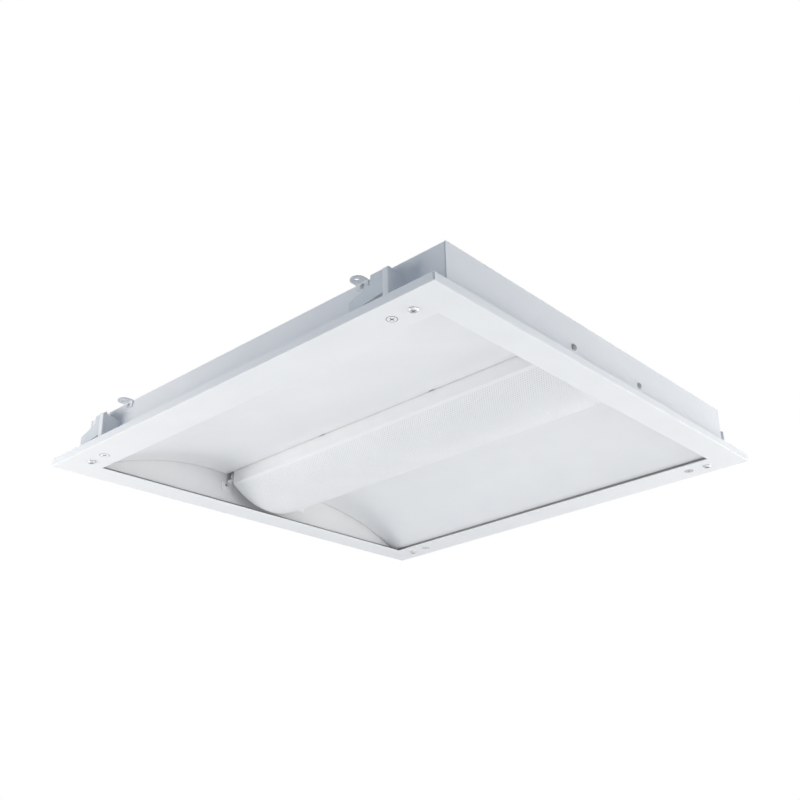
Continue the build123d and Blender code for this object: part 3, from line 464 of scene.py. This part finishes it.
class BasketSheet:
    """Folded trough with plain sides and a curved, perforated underside, and the film behind its holes.

    A point is named by its column and row on a lattice of half pitches. The holes' cells fill the lattice;
    one column and row beyond it lie on the folds and the ends, and one more column on the top edges.
    """

    def __init__(self):
        low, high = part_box("basket_shell")
        self.half_width = high.x
        self.top = high.z
        self.half_length = high.y
        rise = high.z - BASKET_SIDE - low.z
        self.radius = (self.half_width ** 2 + rise ** 2) / (2 * rise)
        self.middle_z = low.z + self.radius
        half_arc = self.radius * math.asin(self.half_width / self.radius)
        self.columns = 2 * int(2 * (half_arc - FOLD_MARGIN) / ROW_STEP)
        self.rows = 2 * int(2 * (self.half_length - END_MARGIN) / HOLE_PITCH)
        self.points = []
        self.faces = []
        self.known = {}

    def across(self, column):
        """Length of arc from the middle of the underside to a column."""
        return (column - self.columns / 2) * ROW_STEP / 2

    def along(self, row):
        """Place along the basket of a row."""
        if row < 0:
            return -self.half_length
        if row > self.rows:
            return self.half_length
        return (row - self.rows / 2) * HOLE_PITCH / 2

    def on_arc(self, arc, y, depth):
        """Point of the curved underside, some way along its arc and some depth into the sheet."""
        reach = self.radius - depth
        return (reach * math.sin(arc / self.radius), y, self.middle_z - reach * math.cos(arc / self.radius))

    def place(self, column, row, depth):
        """Point of the lattice, the folds or the top edges."""
        y = self.along(row)
        if 0 <= column <= self.columns:
            return self.on_arc(self.across(column), y, depth)
        x = self.half_width - depth
        fold_z = self.middle_z - math.sqrt((self.radius - depth) ** 2 - x ** 2)
        z = fold_z if column in (-1, self.columns + 1) else self.top
        return (-x if column < 0 else x, y, z)

    def index(self, key, point):
        """Number of a point, made the first time that its key comes up."""
        if key not in self.known:
            self.known[key] = len(self.points)
            self.points.append(point)
        return self.known[key]

    def node(self, column, row, layer):
        """Number of a point of the lattice, on the outside (0) or the inside (1) of the perforated layer."""
        return self.index((column, row, layer), self.place(column, row, layer * FACE_SHEET))

    def plain(self, column, row):
        """One plain face on both sides of the layer; column and row are its lowest corner."""
        corners = [(column, row), (column + 1, row), (column + 1, row + 1), (column, row + 1)]
        for layer in (0, 1):
            self.faces.append([self.node(*corner, layer) for corner in corners])

    def rim(self, first, second):
        """Edge of the layer between two neighbouring points."""
        outer = [self.node(*first, 0), self.node(*second, 0)]
        self.faces.append(outer + [self.node(*second, 1), self.node(*first, 1)])

    def hole(self, column, row):
        """One cell with a round hole through the layer; column and row are its lowest corner."""
        arc = self.across(column + 1)
        y = self.along(row + 1)
        edges = []
        for layer in (0, 1):
            edge = []
            for corner in range(HOLE_CORNERS):
                angle = 2 * math.pi * corner / HOLE_CORNERS
                around = (arc + HOLE_RADIUS * math.cos(angle), y + HOLE_RADIUS * math.sin(angle))
                point = self.on_arc(*around, layer * FACE_SHEET)
                edge.append(self.index((column, row, layer, corner), point))
            edges.append(edge)
            border = [self.node(column + right, row + up, layer) for right, up in CELL_BORDER]
            for a in range(HOLE_CORNERS):
                b = (a + 1) % HOLE_CORNERS
                self.faces.append([border[a], border[b], edge[b], edge[a]])
        for a in range(HOLE_CORNERS):
            b = (a + 1) % HOLE_CORNERS
            self.faces.append([edges[0][a], edges[0][b], edges[1][b], edges[1][a]])

    def perforate(self):
        """Rows of holes; every second row is moved by half a pitch and has a plain half cell at each end."""
        for column in range(0, self.columns, 2):
            shift = (column // 2) % 2
            for row in range(shift, self.rows - 1, 2):
                self.hole(column, row)
            for row in (0, self.rows - 1) if shift else ():
                self.plain(column, row)
                self.plain(column + 1, row)

    def surround(self):
        """Plain margins, upright sides and the edges of the layer."""
        last = self.columns
        for row in range(-1, self.rows + 1):
            for column in (-2, -1, last, last + 1):
                self.plain(column, row)
            self.rim((-2, row), (-2, row + 1))
            self.rim((last + 2, row), (last + 2, row + 1))
        for column in range(last):
            for row in (-1, self.rows):
                self.plain(column, row)
        for column in range(-2, last + 2):
            self.rim((column, -1), (column + 1, -1))
            self.rim((column, self.rows + 1), (column + 1, self.rows + 1))

    def film(self):
        """Opal film behind the perforated layer, up to the inside of the sheet.

        Its points stand in four lines across the basket: both ends of its outside, then of its inside.
        """
        last = self.columns
        columns = (-2, -1, *range(0, last + 1, FILM_STEP), last + 1, last + 2)
        points = []
        for depth in (FACE_SHEET, BASKET_SHEET):
            outline = [self.place(column, 0, depth) for column in columns]
            for end in (-self.half_length, self.half_length):
                points += [(x, end, z) for x, _, z in outline]
        count = len(columns)
        lines = [range(n * count, (n + 1) * count) for n in range(4)]
        faces = []
        for a, b in ((0, 1), (2, 3), (0, 2), (1, 3)):
            for n in range(count - 1):
                faces.append([lines[a][n], lines[a][n + 1], lines[b][n + 1], lines[b][n]])
        for n in (0, count - 1):
            faces.append([lines[0][n], lines[1][n], lines[3][n], lines[2][n]])
        return points, faces

    def build(self):
        """Makes both pieces; the perforated one takes the place of the plain solid."""
        self.perforate()
        self.surround()
        piece = new_piece("perforated_basket", self.points, self.faces, "basket", "white_paint")
        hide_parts("basket_shell")
        film = new_piece("basket_film", *self.film(), "basket", "opal_sheet")
        dress(film, opal_film())


def add_camera():
    """Camera at the photograph's place and angle."""
    data = bpy.data.cameras.new("camera")
    data.lens = CAMERA_LENS
    data.sensor_width = CAMERA_SENSOR
    data.shift_x, data.shift_y = CAMERA_SHIFT
    camera = bpy.data.objects.new("camera", data)
    camera.location = CAMERA_PLACE
    level = CAMERA_VIEW.to_track_quat("-Z", "Y")
    camera.rotation_mode = "QUATERNION"
    camera.rotation_quaternion = level @ Quaternion((0, 0, 1), CAMERA_ROLL)
    bpy.context.scene.collection.objects.link(camera)
    bpy.context.scene.camera = camera


def add_lamp(name, place, size, power):
    """Soft square lamp that faces the light fixture and is not itself in view."""
    data = bpy.data.lights.new(name, "AREA")
    data.shape = "SQUARE"
    data.size = size
    data.energy = power
    data.color = LAMP_COLOUR
    lamp = bpy.data.objects.new(name, data)
    lamp.location = place
    lamp.rotation_mode = "QUATERNION"
    lamp.rotation_quaternion = (LAMP_TARGET - Vector(place)).to_track_quat("-Z", "Y")
    lamp.visible_camera = False
    bpy.context.scene.collection.objects.link(lamp)


def swap_for_rays(tree, rays, plain, seen, output):
    """Shows a second shader to some kinds of ray."""
    path = tree.nodes.new("ShaderNodeLightPath")
    shown = path.outputs[rays[0]]
    for ray in rays[1:]:
        either = tree.nodes.new("ShaderNodeMath")
        either.operation = "MAXIMUM"
        tree.links.new(shown, either.inputs[0])
        tree.links.new(path.outputs[ray], either.inputs[1])
        shown = either.outputs["Value"]
    mix = tree.nodes.new("ShaderNodeMixShader")
    tree.links.new(shown, mix.inputs["Fac"])
    tree.links.new(plain, mix.inputs[1])
    tree.links.new(seen, mix.inputs[2])
    tree.links.new(mix.outputs["Shader"], tree.nodes[output].inputs["Surface"])


def add_world():
    """White in view and in reflections, and a dimmer cool light from all round."""
    world = bpy.data.worlds.new("studio")
    bpy.context.scene.world = world
    world.use_nodes = True
    tree = world.node_tree
    ambient = tree.nodes["Background"]
    ambient.inputs["Color"].default_value = AMBIENT_COLOUR
    ambient.inputs["Strength"].default_value = AMBIENT_STRENGTH
    seen = tree.nodes.new("ShaderNodeBackground")
    seen.inputs["Color"].default_value = WHITE
    seen.inputs["Strength"].default_value = 1.0
    rays = ("Is Camera Ray", "Is Glossy Ray", "Is Transmission Ray")
    swap_for_rays(tree, rays, ambient.outputs["Background"], seen.outputs["Background"], "World Output")


def add_floor():
    """Plain floor, well below the light; in view it is lifted to a pale tone, in reflections it is white."""
    look = Look("pale_floor", (0.80, 0.80, 0.80), roughness=0.75)
    look.colour(look.noise(FLOOR_CLOUDS, detail=3.0), *FLOOR_SHADES)
    glow = look.tree.nodes.new("ShaderNodeEmission")
    glow.inputs["Color"].default_value = WHITE
    rays = ("Is Glossy Ray", "Is Transmission Ray")
    swap_for_rays(look.tree, rays, look.shader.outputs["BSDF"], glow.outputs["Emission"], "Material Output")
    lift = look.tree.nodes.new("ShaderNodeEmission")
    lift.inputs["Color"].default_value = FLOOR_LIFT
    both = look.tree.nodes.new("ShaderNodeAddShader")
    swapped = look.tree.nodes["Material Output"].inputs["Surface"].links[0].from_socket
    look.tree.links.new(swapped, both.inputs[0])
    look.tree.links.new(lift.outputs["Emission"], both.inputs[1])
    swap_for_rays(look.tree, ("Is Camera Ray",), swapped, both.outputs["Shader"], "Material Output")
    corners = [(-1, -1), (1, -1), (1, 1), (-1, 1)]
    mesh = bpy.data.meshes.new("floor")
    mesh.from_pydata([(x * FLOOR_HALF, y * FLOOR_HALF, FLOOR_Z) for x, y in corners], [], [(0, 1, 2, 3)])
    mesh.materials.append(look.material)
    floor = bpy.data.objects.new("floor", mesh)
    bpy.context.scene.collection.objects.link(floor)


dress_nodes()
BasketSheet().build()
add_camera()
add_world()
add_floor()
for lamp_values in LAMPS:
    add_lamp(*lamp_values)
bpy.context.scene.view_settings.view_transform = "Standard"
